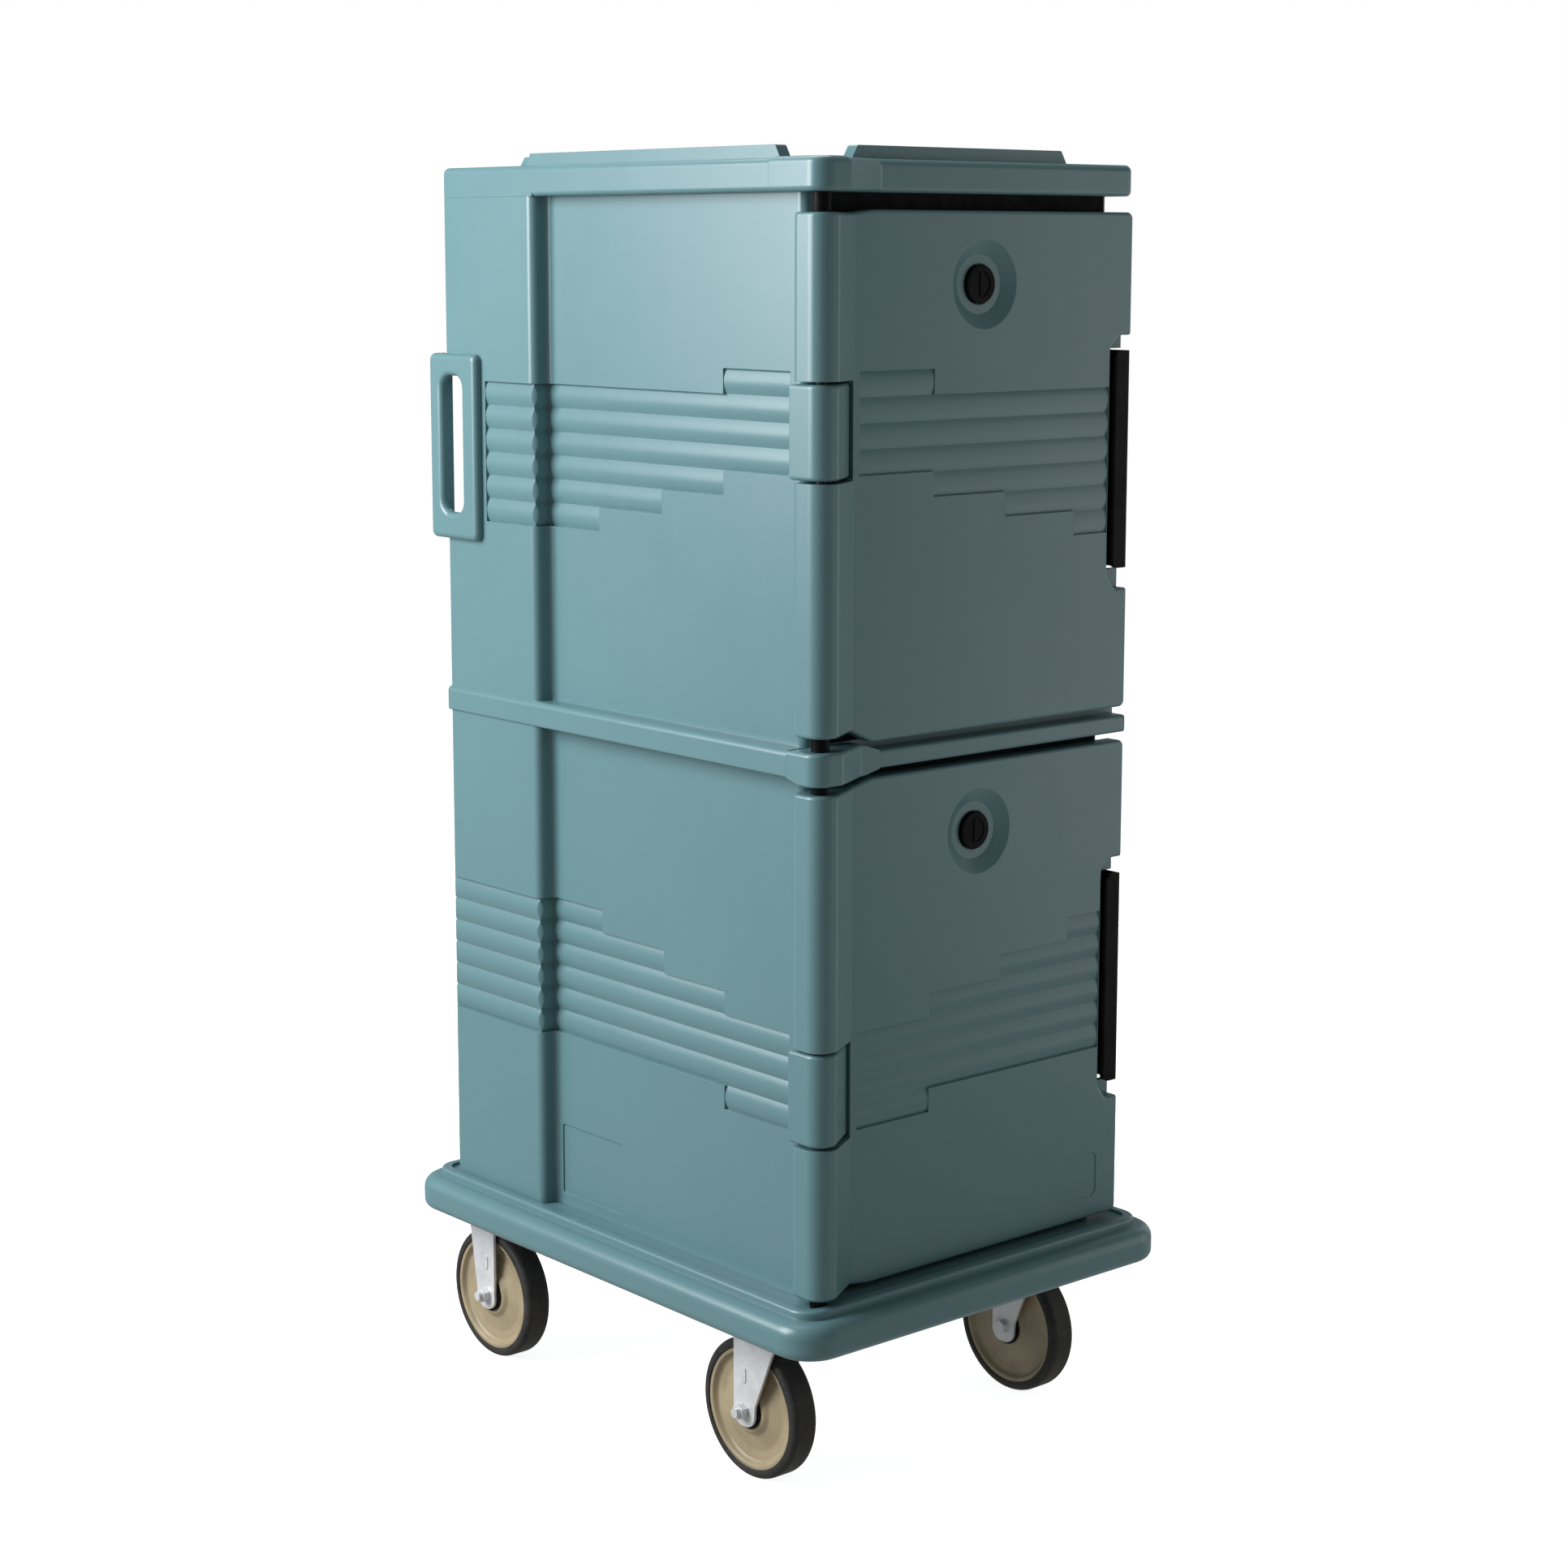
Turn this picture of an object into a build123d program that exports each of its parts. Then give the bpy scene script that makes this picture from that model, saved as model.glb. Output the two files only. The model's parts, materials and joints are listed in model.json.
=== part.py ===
"""Insulated food carrier: a tall two-compartment cabinet on four casters.

Millimetres, +Z up, floor at Z 0, origin under the centre of the base.
The doors face -Y and hang on the left (-X) side, the latches are on the right.
Each upper/lower or left/right piece is written once, as a function of its side.
"""
import os

from build123d import *

# ---------------------------------------------------------------- driving sizes
WIDTH = 525.0                  # over the base bumper
DEPTH = 694.0
BASE_BOTTOM = 176.0
LEDGE = 219.0                  # top of the base, where the walls start
BULL_TOP = 213.5               # top of the bullnose round the base
SLAB_BOTTOM = 1319.5           # underside of the top cover
SLAB_TOP = 1351.5
RAIL_TOP = 1364.5
SKIN = 5.0                     # moulded wall
FIT = 0.4                      # air between pieces that move past each other

# cabinet walls
WALL_X = 228.3                 # rear part, slab and door edges
RECESS_X = 208.3               # side panels that the open doors fold against
REAR_Y = 302.0
STEP_Y = 134.6                 # where the recessed panel meets the rear part
FACE_Y = -279.5                # front rim behind the doors
FRONT_Y = -300.5               # outside of the doors, band and slab
BAND = (755.5, 774.0)          # front bar between the doors
SIDE_BAND = (755.5, 782.5)
BELT_X = 231.3                 # side band, which stands proud of the rear part
BELT_ROUND = 6.0

# compartments: x, y and the two floors and ceilings
HOLD_X = (-156.0, 177.0)
HOLD_BACK = 255.0
HOLD_Z = {"upper": (807.5, 1279.5), "lower": (249.5, 722.5)}
LINER = 3.0
LEDGE_COUNT = 5                # pan ledges on each side of a compartment
LEDGE_SIZE = (13.0, 6.0)       # how far it stands out, how thick it is

# doors
DOOR_Z = {"upper": (783.2, 1303.3), "lower": (224.8, 747.2)}
COLUMN_Z = {"upper": (796.5, 1300.1), "lower": (228.7, 740.5)}
DOOR_BACK = -282.5
PLUG_BACK = -262.0
PIN = (-210.8, -307.0)
PIN_R = 5.0
PIN_FIT = 0.08
BUSH_R = 9.0
KNUCKLE_GAP = 2.6
KNUCKLE_END = -168.0
COLUMN_R = 17.5                # rounded outer corner of the hinge column
KNUCKLE_Z = {"upper": (1045.8, 1138.0), "lower": (386.6, 481.3)}
NOTCH_Z = {"upper": (910.8, 1176.7), "lower": (355.1, 620.0)}
NOTCH_X = 198.0
NOTCH_AIR = 2.0                 # between the latch bar and the flange at each end of its notch
VENT_X = 12.5
VENT_DROP = 72.5               # vent centre below the door's top edge
VENT_DISH_R = 44.5
VENT_SEAT_R = 30.0
VENT_BORE_R = 10.0
CAP_R = 19.5

# moulded ribs: heights of the first and last grooves, and their spacing
RIB_TOP = {"upper": 1148.5, "lower": 564.5}
RIB_PITCH = {"upper": 25.3, "lower": 25.0}
RIB_COUNT = 7
RIB_DEPTH = 3.4
DOOR_RIB_DEPTH = 2.6
RIB_CREST = 0.5                # how far the crest of a rib stays below the wall
STAIR_Y = (-259.0, -157.0, -58.0, 48.0)     # steps of the rib pattern on the sides
STAIR_X = (-155.5, -55.5, 45.0, 145.5)      # and on the doors
RIB_END_X = 195.0

# latches
LATCH_Z = {"upper": (933.0, 1161.0), "lower": (374.5, 603.0)}
LATCH_PIVOT = (219.0, -261.0)
LATCH_PIN_R = 3.0

# casters
WHEEL_R = 74.5
TYRE_W = 32.0
CORE_R = 64.5
TRACK = 188.9
AXLE_Y = {"front": -190.3, "rear": 271.4}
SWIVEL_LEAD = 30.0
AXLE_R = 5.0
HUB_W = 36.0
LEG_T = 3.2
LEG_IN = 19.0                  # inner face of a fork leg from the wheel's middle


# side handles, hinge boss and layers worked into each other
HANDLE_X = 237.5
HANDLE_Y = (231.0, 319.0)
HANDLE_Z = (948.5, 1151.5)
SLOT_Y = (258.0, 296.0)
SLOT_Z = (977.5, 1127.5)
GRIP_Z = (972.5, 1132.5)
BOSS_Z = (749.5, 782.5)
BOSS_END = -126.0
BOSS_SLANT = (-196.0, -151.0)   # where its front runs back to the bar
UPPER_PIN_Z = (767.0, 1342.5)
LOWER_PIN_Z = (192.5, 765.0)
PLATE_FRONT = -286.0           # front of the door liner's cover plate
RIM_X = (-198.0, 204.0)         # seals on the front rim
RIM_SEAL = 2.0
SEAT_Y = -289.4                # floor of the vent dish, behind the cap
PLATE_Z = (172.5, BASE_BOTTOM)
CROWN_Z = (154.5, 158.5)


# ---------------------------------------------------------------- small helpers
def block(x, y, z):
    """Box between three pairs of coordinates."""
    lows, highs = zip(sorted(x), sorted(y), sorted(z))
    size = [high - low for low, high in zip(lows, highs)]
    middle = [(high + low) / 2 for low, high in zip(lows, highs)]
    return Pos(*middle) * Box(*size)


def upright(points, z, rounds=0.0):
    """Prism over a plan outline (x, y), from z[0] to z[1]."""
    face = make_face(FilletPolyline(*points, radius=rounds, close=True))
    return Pos(0, 0, z[0]) * extrude(face, z[1] - z[0])


def fore_aft(points, y, rounds=0.0):
    """Prism over a front-view outline (x, z), from y[0] back to y[1]."""
    face = make_face(FilletPolyline(*points, radius=rounds, close=True))
    return Pos(0, y[1], 0) * Plane.XZ.location * extrude(face, y[1] - y[0])


def sideways(points, x, rounds=0.0):
    """Prism over a side-view outline (y, z), from x[0] to x[1]."""
    face = make_face(FilletPolyline(*points, radius=rounds, close=True))
    return Pos(x[0], 0, 0) * Plane.YZ.location * extrude(face, x[1] - x[0])


def post(xy, radius, z):
    """Upright round bar."""
    return Pos(xy[0], xy[1], (z[0] + z[1]) / 2) * Cylinder(radius, abs(z[1] - z[0]))


def bar_y(x, z, radius, y):
    """Round bar along Y."""
    return Pos(x, (y[0] + y[1]) / 2, z) * Rot(90, 0, 0) * Cylinder(radius, abs(y[1] - y[0]))


def bar_x(y, z, radius, x):
    """Round bar along X."""
    return Pos((x[0] + x[1]) / 2, y, z) * Rot(0, 90, 0) * Cylinder(radius, abs(x[1] - x[0]))


def rounded_slab(inset, z, corner):
    """Rounded rectangle of the base's plan, inset on every side."""
    plan = RectangleRounded(WIDTH - 2 * inset, DEPTH - 2 * inset, corner)
    return Pos(0, 0, z[0]) * extrude(plan, z[1] - z[0])


def at_height(solid, z):
    """Edges of a solid that lie flat at one height."""
    return solid.edges().filter_by_position(Axis.Z, z - 0.01, z + 0.01)


def mirrored(solid):
    """The same piece on the other (+X) side."""
    return mirror(solid, Plane.YZ)


def save(name, shape):
    """Write one node and print its size."""
    shape = Compound(children=list(shape.solids())) if len(shape.solids()) > 1 else shape.solid()
    shape.label = name
    export_step(shape, f"parts/{name}.step")
    box = shape.bounding_box()
    print(f"{name:28s} {box.size.X:7.1f} {box.size.Y:7.1f} {box.size.Z:7.1f}")


# ---------------------------------------------------------------- shared outlines
def hinge_outline(strip_start, strip_end, back, inset=0.0):
    """Plan of the hinge corner: rounded outside, slanting back to the door face."""
    left, front = -WALL_X + inset, PIN[1] - COLUMN_R + inset
    points = [(left, back), (left, front), (strip_start, front),
              (strip_end, FRONT_Y + inset), (strip_end, back)]
    return points, [0.0, COLUMN_R - inset, 8.0, 4.0, 0.0]


def rib_rows(level):
    """Bottom and top of each moulded rib row, from the highest down."""
    top, pitch = RIB_TOP[level], RIB_PITCH[level]
    return [(top - pitch * (row + 1), top - pitch * row) for row in range(RIB_COUNT)]


def rib_profile(low, high, outside, depth=RIB_DEPTH):
    """Section of the material removed for one row: (out, z) with a bulging inner side."""
    middle = (low + high) / 2
    line = Line((outside, low), (outside, high)) + Line((outside, high), (-depth, high))
    line += ThreePointArc((-depth, high), (-RIB_CREST, middle), (-depth, low))
    line += Line((-depth, low), (outside, low))
    return make_face(line)


def stair(level, row, steps):
    """Where a row starts and ends: the rows step back one after another."""
    first, second, third, fourth = steps
    far = None
    if level == "upper":
        spans = [(first, second), (first, far), (first, far), (first, far),
                 (second, far), (third, far), (fourth, far)]
    else:
        spans = [(fourth, far), (third, far), (second, far), (first, far),
                 (first, far), (first, far), (first, second)]
    return spans[row]


def side_ribs(level):
    """Cutters for the ribs of the left side: recessed panel, then the rear part."""
    reach = 8.0
    last = HANDLE_Y[0] - 7 if level == "upper" else REAR_Y + 1
    cutters = []
    for row, (low, high) in enumerate(rib_rows(level)):
        start, end = stair(level, row, STAIR_Y)
        panel = Plane((-RECESS_X, start, 0), x_dir=(-1, 0, 0), z_dir=(0, 1, 0))
        stop = STEP_Y if end is None else end
        cutters.append(extrude(panel * rib_profile(low, high, reach), stop - start))
        if end is None:
            wall = Plane((-WALL_X, STEP_Y - 1, 0), x_dir=(-1, 0, 0), z_dir=(0, 1, 0))
            cutters.append(extrude(wall * rib_profile(low, high, reach), last - STEP_Y + 1))
            step = Plane((-RECESS_X, STEP_Y, 0), x_dir=(0, -1, 0), z_dir=(-1, 0, 0))
            cutters.append(extrude(step * rib_profile(low, high, 2.0), WALL_X - RECESS_X + 1))
    return cutters


def back_ribs(level):
    """Cutters for the ribs across the back wall."""
    half = WALL_X - 45 if level == "upper" else WALL_X + 1
    left = Plane((-half, REAR_Y, 0), x_dir=(0, 1, 0), z_dir=(1, 0, 0))
    cutters = []
    for row, (low, high) in enumerate(rib_rows(level)):
        if stair(level, row, STAIR_Y)[1] is None:
            cutters.append(extrude(left * rib_profile(low, high, 3.0), 2 * half))
    return cutters


def door_ribs(level):
    """Cutters for the ribs on a door's face."""
    cutters = []
    for row, (low, high) in enumerate(rib_rows(level)):
        start, end = stair(level, row, STAIR_X)
        end = RIB_END_X if end is None else end
        right = Plane((end, FRONT_Y, 0), x_dir=(0, -1, 0), z_dir=(-1, 0, 0))
        cutters.append(extrude(right * rib_profile(low, high, 2.0, DOOR_RIB_DEPTH), end - start))
    return cutters


# ---------------------------------------------------------------- cabinet
def base_bumper():
    """Rounded skid round the foot: bullnose, bead and the ledge the walls stand on."""
    bead_top = LEDGE + 3.5
    skid = rounded_slab(0, (BASE_BOTTOM, BULL_TOP), 42.0)
    skid = fillet(at_height(skid, BULL_TOP), 14.0)
    skid = fillet(at_height(skid, BASE_BOTTOM), 10.0)
    bead = rounded_slab(19, (BULL_TOP - 3, bead_top), 26.0)
    bead = fillet(at_height(bead, bead_top), 3.5)
    skid = skid + bead - rounded_slab(30, (LEDGE, bead_top + 1), 16.0)
    skid -= foam_envelope()
    skid -= post(PIN, PIN_R, (LOWER_PIN_Z[0], LEDGE))
    return skid - caster_bolts()


def wall_plan():
    """Plan of the cabinet walls with the recessed side panels."""
    points = [(-RECESS_X, FACE_Y), (RECESS_X, FACE_Y), (RECESS_X, STEP_Y), (WALL_X, STEP_Y),
              (WALL_X, REAR_Y), (-WALL_X, REAR_Y), (-WALL_X, STEP_Y), (-RECESS_X, STEP_Y)]
    return points, [10.0, 4.0, 6.0, 9.0, 9.0, 9.0, 9.0, 6.0]


def foam_envelope():
    """Everything inside the moulded skins that is filled with foam."""
    slab_in = 6.0
    front = block((-RECESS_X + SKIN, RECESS_X - SKIN), (FACE_Y + SKIN, STEP_Y + 20),
                  (BASE_BOTTOM + slab_in, SLAB_TOP - slab_in))
    rear = block((-WALL_X + SKIN, WALL_X - SKIN), (STEP_Y + SKIN, REAR_Y - SKIN),
                 (BASE_BOTTOM + slab_in, SLAB_TOP - slab_in))
    foot = rounded_slab(24, (BASE_BOTTOM + slab_in, BULL_TOP - 4), 22.0)
    head = block((-WALL_X + slab_in, WALL_X - slab_in), (FRONT_Y + slab_in, REAR_Y - slab_in),
                 (SLAB_BOTTOM + slab_in, SLAB_TOP - slab_in))
    pockets = [handle_pocket(SKIN), mirrored(handle_pocket(SKIN))]
    belt = block((-WALL_X + SKIN, WALL_X - SKIN), (FACE_Y + SKIN, STEP_Y + 20),
                 (SIDE_BAND[0] + SKIN, SIDE_BAND[1] - SKIN))
    bar = block((BOSS_END + SKIN, WALL_X - SKIN), (FRONT_Y + SKIN, FACE_Y + 20),
                (BAND[0] + SKIN, BAND[1] - SKIN))
    pin_corner = post(PIN, 28.0, (BASE_BOTTOM, LEDGE))
    return front + rear + foot + head + belt + bar - pockets - pin_corner


def handle_pocket(grow=0.0):
    """Hollow in the rear corner, behind the hand grip (left side)."""
    points = [(-WALL_X - 10, 256.0 - grow), (-WALL_X + grow, 256.0 - grow),
              (-200.0 + grow, 289.0 - grow), (-200.0 + grow, REAR_Y + 10),
              (-WALL_X - 10, REAR_Y + 10)]
    return upright(points, (GRIP_Z[0] - grow, GRIP_Z[1] + grow), [0, 0, 12.0, 0, 0])


def outer_shell():
    """Moulded wall skin between the base and the top cover."""
    points, rounds = wall_plan()
    shell = upright(points, (LEDGE, SLAB_BOTTOM), rounds)
    rear = REAR_Y + BELT_X - WALL_X
    ahead = FACE_Y - 20
    band = upright([(-BELT_X, ahead), (BELT_X, ahead), (BELT_X, rear), (-BELT_X, rear)],
                   SIDE_BAND, [0.0, 0.0, 9.0, 9.0])
    band = fillet(at_height(band, SIDE_BAND[1]), BELT_ROUND)
    band = fillet(at_height(band, SIDE_BAND[0]), 2.0)
    band -= block((-WIDTH, WIDTH), (ahead - 1, FACE_Y), SIDE_BAND)
    front = block((BOSS_END, WALL_X), (FRONT_Y, FACE_Y), BAND)
    front = fillet(front.edges().filter_by(Axis.X).group_by(Axis.Y)[0], 3.5)
    shell += band
    shell += front
    shell -= foam_envelope() + liner_envelope("upper") + liner_envelope("lower")
    cutters = [handle_pocket(), mirrored(handle_pocket())]
    for level in ("upper", "lower"):
        side = side_ribs(level)
        cutters += side + [mirrored(cutter) for cutter in side] + back_ribs(level)
    label = block((-RECESS_X - 1, -RECESS_X + 1.5), (13.7, 123.0), (LEDGE + 13.5, LEDGE + 92))
    label = fillet(label.edges().filter_by(Axis.X), 3.0)
    cutters += [label, mirrored(label)] + latch_screws() + rim_gaskets()
    return shell - cutters


def rim_gaskets():
    """Flat seals let into the cabinet's front rim, one round each compartment."""
    spans = {"upper": (SIDE_BAND[1] + 1, SLAB_BOTTOM), "lower": (LEDGE, BAND[0])}
    y = (FACE_Y, FACE_Y + RIM_SEAL)
    return [block(RIM_X, y, span) - liner_envelope(level) for level, span in spans.items()]


def foam_core():
    """Foam block that fills the walls round both compartments."""
    return foam_envelope() - [liner_envelope("upper"), liner_envelope("lower")]


def liner_envelope(level):
    """Outside of one compartment liner."""
    low, high = HOLD_Z[level]
    left, right = HOLD_X
    points = [(left - LINER, low - LINER), (right + LINER, low - LINER),
              (right + LINER, high + LINER), (left - LINER, high + LINER)]
    return fore_aft(points, (FACE_Y, HOLD_BACK + LINER), 20.0 + LINER)


def liner(level):
    """Compartment liner with its pan ledges."""
    low, high = HOLD_Z[level]
    left, right = HOLD_X
    hollow = fore_aft([(left, low), (right, low), (right, high), (left, high)],
                      (FACE_Y - 1, HOLD_BACK), 20.0)
    body = liner_envelope(level) - hollow
    out, thick = LEDGE_SIZE
    pitch = (high - low) / (LEDGE_COUNT + 1)
    run = (PLUG_BACK + 10, HOLD_BACK + 1)
    for step in range(1, LEDGE_COUNT + 1):
        z = low + pitch * step
        body += block((left - 1, left + out), run, (z - thick, z))
        body += block((right - out, right + 1), run, (z - thick, z))
    return body


def top_cover():
    """Moulded lid with the raised rails that keep trays on it."""
    points = [(-WALL_X, REAR_Y), (-WALL_X, PIN[1] - COLUMN_R), (-190.0, PIN[1] - COLUMN_R),
              (-129.0, FRONT_Y), (WALL_X, FRONT_Y), (WALL_X, REAR_Y)]
    lid = upright(points, (SLAB_BOTTOM, SLAB_TOP), [9.0, COLUMN_R, 10.0, 10.0, 9.0, 9.0])
    lid = fillet(at_height(lid, SLAB_TOP), 7.0)
    lid = fillet(at_height(lid, SLAB_BOTTOM), 5.0)
    proud = 1.2
    left, front = -WALL_X - proud, PIN[1] - COLUMN_R - proud
    pad = upright([(left, -250.0), (left, front), (-190.0, front), (-190.0, -250.0)],
                  (SLAB_BOTTOM, SLAB_TOP + proud), [1.0, COLUMN_R + proud, 0.0, 0.0])
    pad = fillet(at_height(pad, SLAB_TOP + proud), 7.0)
    lid += fillet(at_height(pad, SLAB_BOTTOM), 5.0)
    lid += upright([(-WALL_X, STEP_Y), (WALL_X, STEP_Y), (WALL_X, REAR_Y), (-WALL_X, REAR_Y)],
                   (SLAB_BOTTOM, SLAB_BOTTOM + 8), [0.0, 0.0, 9.0, 9.0])
    lid -= foam_envelope()
    lid -= post(PIN, PIN_R, (SLAB_BOTTOM, UPPER_PIN_Z[1]))
    slant, foot, tip = 8.0, SLAB_TOP - 0.5, RAIL_TOP
    left_y, right_y = (-242.5, 155.7), (-185.0, 155.7)
    front_x, rear_x = (-146.0, 134.0), (-137.0, 137.0)

    def ramp(low, high):
        return [(low - slant, foot), (high + slant, foot), (high, tip), (low, tip)]

    soft = [0.0, 0.0, 3.0, 3.0]
    left = sideways(ramp(*left_y), (-214.0, -200.0), soft)
    right = sideways(ramp(*right_y), (200.0, 214.0), soft)
    front = fore_aft(ramp(*front_x), (-285.7, -271.7), soft)
    rear = fore_aft(ramp(*rear_x), (258.0, 272.0), soft)
    return lid + left + right + front + rear


def side_handle():
    """Hand grip at the rear left corner: a rounded frame round a finger slot."""
    low, high = HANDLE_Z
    front, back = HANDLE_Y
    plate = block((-HANDLE_X, -WALL_X), (front, back), (low, high))
    grip = block((-HANDLE_X, -221.0), (SLOT_Y[1], back), (GRIP_Z[0] + FIT, GRIP_Z[1] - FIT))
    ends = block((-HANDLE_X, -221.0), (REAR_Y, back), (low, high))
    frame = plate + grip + ends
    frame = fillet(frame.edges().filter_by(Axis.X).group_by(Axis.Z)[-1], 8.0)
    frame = fillet(frame.edges().filter_by(Axis.X).group_by(Axis.Z)[0], 8.0)
    slot = block((-HANDLE_X - 1, -WALL_X + 20), SLOT_Y, SLOT_Z)
    slot = fillet(slot.edges().filter_by(Axis.X), 14.0)
    frame -= slot
    outer = frame.faces().sort_by(Axis.X)[0]
    return fillet(outer.edges(), 6.0)


def hinge_knuckle(level):
    """Hinge knuckle fixed to the cabinet's front rim."""
    points, rounds = hinge_outline(-203.0, KNUCKLE_END, FACE_Y, inset=0.8)
    body = upright(points, KNUCKLE_Z[level], rounds)
    body = fillet(at_height(body, KNUCKLE_Z[level][0]) + at_height(body, KNUCKLE_Z[level][1]), 4.0)
    return body - post(PIN, PIN_R, KNUCKLE_Z[level])


def hinge_boss():
    """Hinge corner of the front bar, which carries an end of both pins."""
    front = PIN[1] - COLUMN_R
    corner, level_end = BOSS_SLANT
    points = [(-BELT_X, FACE_Y), (-BELT_X, front), (corner, front), (level_end, FRONT_Y),
              (BOSS_END, FRONT_Y), (BOSS_END, FACE_Y)]
    body = upright(points, BOSS_Z, [0.0, COLUMN_R, 8.0, 4.0, 0.0, 0.0])
    body = fillet(at_height(body, BOSS_Z[1]), 4.0)
    body = fillet(at_height(body, BOSS_Z[0]), 2.5)
    low, high = BOSS_Z
    body &= fore_aft([(-BELT_X - 1, low), (level_end, low), (BOSS_END, BAND[0]), (BOSS_END, BAND[1]),
                      (level_end, high), (-BELT_X - 1, high)], (front - 1, FACE_Y))
    body &= sideways([(front - 1, low), (FRONT_Y, low), (FACE_Y, SIDE_BAND[0]), (FACE_Y, high),
                      (front - 1, high)], (-BELT_X - 1, BOSS_END))
    return body - post(PIN, PIN_R, BOSS_Z)


def hinge_pin(level):
    """Steel hinge pin."""
    span = UPPER_PIN_Z if level == "upper" else LOWER_PIN_Z
    return post(PIN, PIN_R, span)


def hinge_bushes(level):
    """Black spacers above and below a door's hinge column."""
    low, high = COLUMN_Z[level]
    if level == "upper":
        gaps = [(BOSS_Z[1], low - FIT), (high + FIT, SLAB_BOTTOM)]
    else:
        gaps = [(LEDGE, low - FIT), (high + FIT, BOSS_Z[0])]
    return [post(PIN, BUSH_R, gap) - post(PIN, PIN_R, gap) for gap in gaps]


# ---------------------------------------------------------------- doors
def door_shell(level):
    """Door skin with its hinge column, latch notch, ribs and vent dish."""
    low, high = DOOR_Z[level]
    foot, head = COLUMN_Z[level]
    notch_low, notch_high = NOTCH_Z[level]
    left, mouth = -165.0, WALL_X
    corners = [(left, foot, 0.0), (-136.0, low, 6.0), (mouth, low, 7.0),
               (mouth, notch_low, 2.0), (210.0, notch_low, 5.0), (NOTCH_X, notch_low + 15, 8.0),
               (NOTCH_X, notch_high - 12, 7.0), (210.0, notch_high, 5.0),
               (mouth, notch_high, 2.0), (mouth, high, 7.0), (-136.0, high, 6.0), (left, head, 0.0)]
    outline = [(x, z) for x, z, _ in corners]
    panel = fore_aft(outline, (FRONT_Y, DOOR_BACK), [radius for _, _, radius in corners])
    rim = panel.edges().filter_by_position(Axis.Y, FRONT_Y - 0.01, FRONT_Y + 0.01)
    rim = [edge for edge in rim if edge.center().X > left + 1]
    panel = fillet(rim, 3.5)
    points, rounds = hinge_outline(-203.0, -162.0, DOOR_BACK)
    rounds[0] = 9.0
    column = upright(points, (foot, head), rounds)
    column = fillet(at_height(column, foot) + at_height(column, head), 3.5)
    gap_low, gap_high = KNUCKLE_Z[level]
    shell = panel + column
    latch_low, latch_high = LATCH_Z[level]
    for span in ((notch_low - 2, latch_low - NOTCH_AIR), (latch_high + NOTCH_AIR, notch_high + 2)):
        shell += block((NOTCH_X - 2, 224.0), (-289.0, DOOR_BACK), span)
    vent_z = high - VENT_DROP
    dish = Pos(VENT_X, FRONT_Y, vent_z) * Rot(90, 0, 0) * Pos(0, 0, -4.5) * \
        Cone(VENT_SEAT_R, VENT_DISH_R, 9.0)
    tube = bar_y(VENT_X, vent_z, VENT_DISH_R + 6, (FRONT_Y + 1, PLATE_FRONT))
    cutters = [
        block((-250, KNUCKLE_END + KNUCKLE_GAP), (-340, DOOR_BACK + 1), (gap_low - KNUCKLE_GAP, gap_high + KNUCKLE_GAP)),
        post(PIN, PIN_R + PIN_FIT, (foot - 1, head + 1)),
        door_pocket(level) - tube,
        dish,
        bar_y(VENT_X, vent_z, CAP_R + 1, (FRONT_Y, SEAT_Y)),
        bar_y(VENT_X, vent_z, VENT_BORE_R, (FRONT_Y, DOOR_BACK + 1)),
    ]
    if level == "lower":
        label = block((135.0, 196.0), (FRONT_Y - 1, FRONT_Y + 0.8), (low + 23.7, low + 72.7))
        cutters.append(fillet(label.edges().filter_by(Axis.Y), 8.0))
    return shell - cutters - door_ribs(level)


def door_pocket(level):
    """Hollow of a door, open at the back."""
    low, high = DOOR_Z[level]
    return block((-156.0, 188.0), (FRONT_Y + SKIN, DOOR_BACK + 1), (low + 14, high - 12))


def plug_span(level, shrink):
    """Outline of a door's plug inside its compartment."""
    low, high = HOLD_Z[level]
    return ((HOLD_X[0] + 5 + shrink, HOLD_X[1] - 6 - shrink), (low + 6 + shrink, high - 6 - shrink))


def door_liner(level):
    """Inner face of a door: cover plate and the plug that enters the compartment."""
    x, z = plug_span(level, 0)
    plate = door_pocket(level) & block((-300, 300), (PLATE_FRONT, DOOR_BACK), (0, SLAB_TOP))
    plug = block(x, (DOOR_BACK, PLUG_BACK), z)
    plug = fillet(plug.edges().filter_by(Axis.Y), 16.0)
    return plate + plug - plug_core(level, PLATE_FRONT - 1) - vent_bore(level, VENT_BORE_R)


def plug_core(level, front):
    """Foam space inside the plug, clear of the vent's tube."""
    x, z = plug_span(level, LINER)
    core = block(x, (front, PLUG_BACK - LINER), z)
    core = fillet(core.edges().filter_by(Axis.Y), 16.0 - LINER)
    return core - vent_bore(level, VENT_BORE_R + 4)


def vent_bore(level, radius):
    """Round passage through a door."""
    return bar_y(VENT_X, DOOR_Z[level][1] - VENT_DROP, radius, (FRONT_Y, PLUG_BACK + 1))


def door_foam(level):
    """Foam filling of a door and its plug."""
    slab = door_pocket(level) & block((-300, 300), (FRONT_Y, PLATE_FRONT), (0, SLAB_TOP))
    tube = bar_y(VENT_X, DOOR_Z[level][1] - VENT_DROP, VENT_DISH_R + 6, (FRONT_Y, PLATE_FRONT))
    return slab - tube + plug_core(level, PLATE_FRONT)


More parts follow.
